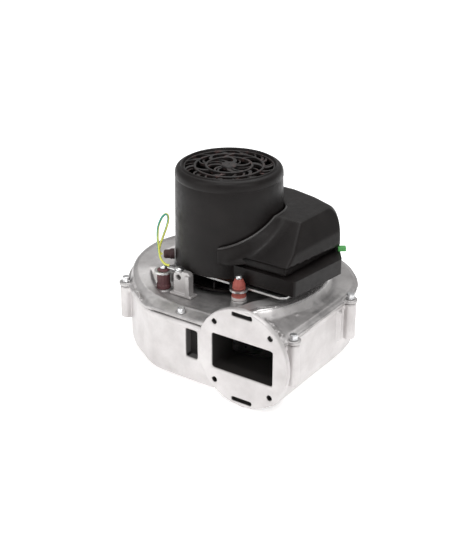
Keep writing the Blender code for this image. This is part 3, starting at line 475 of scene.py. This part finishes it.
def turned(profile, count):
    """Closed ring turned about the motor axis."""
    verts = []
    for k in range(count):
        a = math.tau * k / count
        verts += [at(r * math.cos(a), r * math.sin(a), z) for r, z in profile]
    n = len(profile)
    faces = [(k * n + j, k * n + (j + 1) % n, (k + 1) % count * n + (j + 1) % n, (k + 1) % count * n + j)
             for k in range(count) for j in range(n)]
    return verts, faces


def cap_shell(material):
    """Finely turned motor cap, open at the top inside its rolled rim."""
    profile = [(53.5, 95.6), (53.1, 120.0), (52.5, 170.0), (52.2, 180.6)]
    profile += [(52.0, 181.2), (52.0, 181.8), (52.5, 182.6), (52.5, 184.4)]
    for k in range(1, 10):
        a = math.radians(90.0 * k / 9)
        profile.append((47.4 + 5.0 * math.cos(a), CAP_TOP - 8.2 + 6.8 * math.sin(a)))
    profile += [(46.9, CAP_TOP - 1.0), (46.5, CAP_TOP - 0.3), (46.0, CAP_TOP), (45.2, CAP_TOP),
                (44.7, CAP_TOP - 0.5), (44.2, CAP_TOP - 2.4), (43.6, CAP_TOP - 5.2),
                (48.0, CAP_TOP - 10.0), (50.2, 178.0), (51.0, 95.6)]
    solid("motor_cap_shell", [turned(profile, 144)], material, ["motor_cap"])


VANES = ((11, 8.0, 21.4, 2.9, 0.5, 1.5),
         (17, 22.6, 32.4, 3.1, -0.3, 1.8),
         (27, 34.0, 43.0, 3.1, 0.2, 2.2))


def cap_grille(material):
    """Recessed vent grille: hub, three hoops and uneven curved vanes."""
    deep = CAP_TOP - 4.6
    bodies = [turned([(0.6, deep), (0.6, CAP_TOP - 0.9), (7.2, CAP_TOP - 1.0), (8.2, CAP_TOP - 1.9),
                      (8.4, deep)], 72)]
    for r0, r1, drop in ((21.0, 23.4, 1.3), (32.0, 34.4, 1.6), (42.6, 44.4, 2.0)):
        bodies.append(turned([(r0, deep), (r0, CAP_TOP - drop - 0.4), (r0 + 0.5, CAP_TOP - drop),
                              (r1 - 0.5, CAP_TOP - drop), (r1, CAP_TOP - drop - 0.4), (r1, deep)], 96))
    for number, r0, r1, wide, twist, drop in VANES:
        for k in range(number):
            base = math.tau * (k + 0.3 * math.sin(2.7 * k + r0)) / number
            half = wide / 2 * (1.0 + 0.45 * math.sin(4.1 * k + r1))
            top = CAP_TOP - drop - 0.9 * (1.0 + math.sin(3.3 * k + r0))
            left, right = [], []
            for step in range(5):
                u = step / 4
                r = r0 + (r1 - r0) * u
                a = base + twist * u * u
                left.append((r, a + half / r))
                right.append((r, a - half / r))
            loop = [(r * math.cos(a), r * math.sin(a)) for r, a in left + right[::-1]]
            verts = [at(x, y, z) for z in (deep, top) for x, y in loop]
            bodies.append((verts, ring_faces(2, len(loop))))
    solid("motor_cap_grille", bodies, material, ["motor_cap"], 30.0)


WIRE_KEYS = ((-31.5, -56.5, 98.25), (-36.5, -57.2, 99.0), (-41.5, -56.8, 103.0), (-45.5, -54.5, 110.0),
             (-49.0, -51.5, 121.0), (-49.5, -49.5, 132.0), (-46.0, -48.0, 142.0), (-41.5, -46.8, 146.5),
             (-39.6, -46.0, 142.5), (-42.5, -45.0, 133.0), (-47.5, -44.0, 122.0), (-52.5, -43.0, 111.0),
             (-54.4, -42.9, 104.0), (-53.2, -42.6, 100.9), (-51.4, -41.6, 100.0))
WIRE_R = 1.15


def smooth_path(keys, per):
    """Catmull-Rom curve through the keys, in the row frame."""
    pts = [at(*k) for k in keys]
    ext = [2 * pts[0] - pts[1]] + pts + [2 * pts[-1] - pts[-2]]
    out = []
    for i in range(1, len(ext) - 2):
        p0, p1, p2, p3 = ext[i - 1:i + 3]
        for k in range(per):
            t = k / per
            out.append(0.5 * ((2 * p1) + (p2 - p0) * t + (2 * p0 - 5 * p1 + 4 * p2 - p3) * t * t
                              + (3 * p1 - p0 - 3 * p2 + p3) * t ** 3))
    out.append(pts[-1])
    return out


def earth_wire(yellow, green):
    """Two-colour lead swept along its route; the stripe winds slowly round it."""
    path = smooth_path(WIRE_KEYS, 8)
    count = 12
    side = Vector((0.0, 1.0, 0.0))
    verts = []
    for i, point in enumerate(path):
        ahead = (path[min(i + 1, len(path) - 1)] - path[max(i - 1, 0)]).normalized()
        side = (side - ahead * side.dot(ahead)).normalized()
        other = ahead.cross(side)
        for k in range(count):
            a = math.tau * k / count + 0.05 * i
            verts.append(point + (side * math.cos(a) + other * math.sin(a)) * WIRE_R * MM)
    ob = solid("earth_lead", [(verts, ring_faces(len(path), count))], yellow,
               ["earth_wire"])
    ob.data.materials.append(green)
    for index, face in enumerate(ob.data.polygons):
        face.material_index = 1 if index < (len(path) - 1) * count and index % count in (0, 1, 2, 3) else 0


COLLAR_R = 56.0


def crest_height(t):
    """Height of the lid's collar round the cap at angle t in degrees."""
    s = math.sin(math.radians(t))
    crest = min(152.6, 155.0 + 0.53 * COLLAR_R * s)
    u = min(1.0, max(0.0, (t - 4.0) / 34.0))
    roof = min(150.0, 120.0 + (COLLAR_R * s + 41.0) * 0.69) + 0.4
    return crest + (roof - crest) * u * u * (3 - 2 * u)


def collar_lip(material):
    """Rolled lip along the crest of the lid's collar."""
    count, verts, steps = 14, [], 84
    for i in range(steps + 1):
        t = -66.5 + 100.0 * i / steps
        a = math.radians(t)
        fade = min(1.0, 0.35 + min(i, steps - i) / 6.0)
        for k in range(count):
            b = math.tau * k / count
            r = 55.75 + 1.25 * fade * math.cos(b)
            z = crest_height(t) - 0.5 + 1.25 * fade * math.sin(b)
            verts.append(at(r * math.cos(a), r * math.sin(a), z))
    solid("lid_collar_lip", [(verts, ring_faces(steps + 1, count))], material, [])


def housing_extras():
    """Boss cast on the lower housing."""
    return [stud(-26.0, -88.0, ((2.0, 30.0), (2.4, 64.0)))]


def shelf():
    """Raised floor inside the ring on the side away from the outlet, fading at both ends."""
    steps, verts = 56, []
    for i in range(steps + 1):
        u = i / steps
        a = math.radians(118.0 + 111.0 * u)
        fade = min(1.0, u / 0.16, (1.0 - u) / 0.16)
        fade = 0.06 + 0.94 * fade * fade * (3 - 2 * fade)
        for r, z in ((55.0, 70.5), (80.0, 70.5), (80.0, 82.6), (68.0, 81.8), (58.0, 79.4), (55.0, 76.0)):
            verts.append(at(r * math.cos(a), r * math.sin(a), 70.5 + (z - 70.5) * fade))
    return verts, ring_faces(steps + 1, 6)


def cover_extras():
    """Bosses and ribs cast on the top cover."""
    return [shelf(),
            stud(99.0, -13.0, ((4.4, 70.5), (3.4, 74.8), (2.6, 75.2))),
            stud(99.0, -34.0, ((4.0, 70.5), (3.0, 74.4), (2.2, 74.8))),
            stud(88.0, -68.0, ((6.4, 68.0), (5.4, 76.2), (4.4, 77.0))),
            stud(101.0, -75.0, ((6.0, 68.0), (5.0, 75.6), (4.0, 76.4))),
            stud(74.0, -74.0, ((5.4, 68.0), (4.4, 75.0), (3.4, 75.8))),
            bar((64.0, -60.0), (96.0, -66.0), 1.5, 69.0, 76.4),
            bar((96.0, -66.0), (113.0, -77.0), 1.5, 69.0, 75.0),
            bar((90.0, -69.0), (92.0, -90.0), 1.4, 69.0, 74.0),
            bar((60.0, -78.0), (60.0, -91.0), 1.2, 69.0, 73.4),
            bar((-60.0, -77.0), (-44.0, -88.0), 1.2, 69.0, 73.4)]


SMALL_PARTS = ("cover_screw", "isolator", "earth_screw", "power_header", "signal_terminal",
               "cable_grommet")


def refine(materials):
    soft_casting("lower_housing", 1.2, 2, materials["cast_housing"], housing_extras())
    soft_casting("housing_cover", 0.9, 3, materials["cast_cover"], cover_extras())
    soft_casting("electronics_lid", 0.85, 22, materials["black_plastic"])
    soft_casting("earth_post", 0.4, 6, materials["cast_aluminium"])
    cap_shell(materials["black_plastic"])
    cap_grille(materials["grille_plastic"])
    collar_lip(materials["lip_plastic"])
    earth_wire(materials["earth_insulation"], materials["wire_green"])
    round_edges("electronics_base", 1.0, 3)
    round_edges("motor_plate", 0.3)
    for name in nodes:
        if name.startswith(SMALL_PARTS):
            round_edges(name, 0.35)


# ---- scene --------------------------------------------------------------------
make_camera()
make_studio()
MATERIALS = make_materials()
dress_nodes(MATERIALS)
refine(MATERIALS)
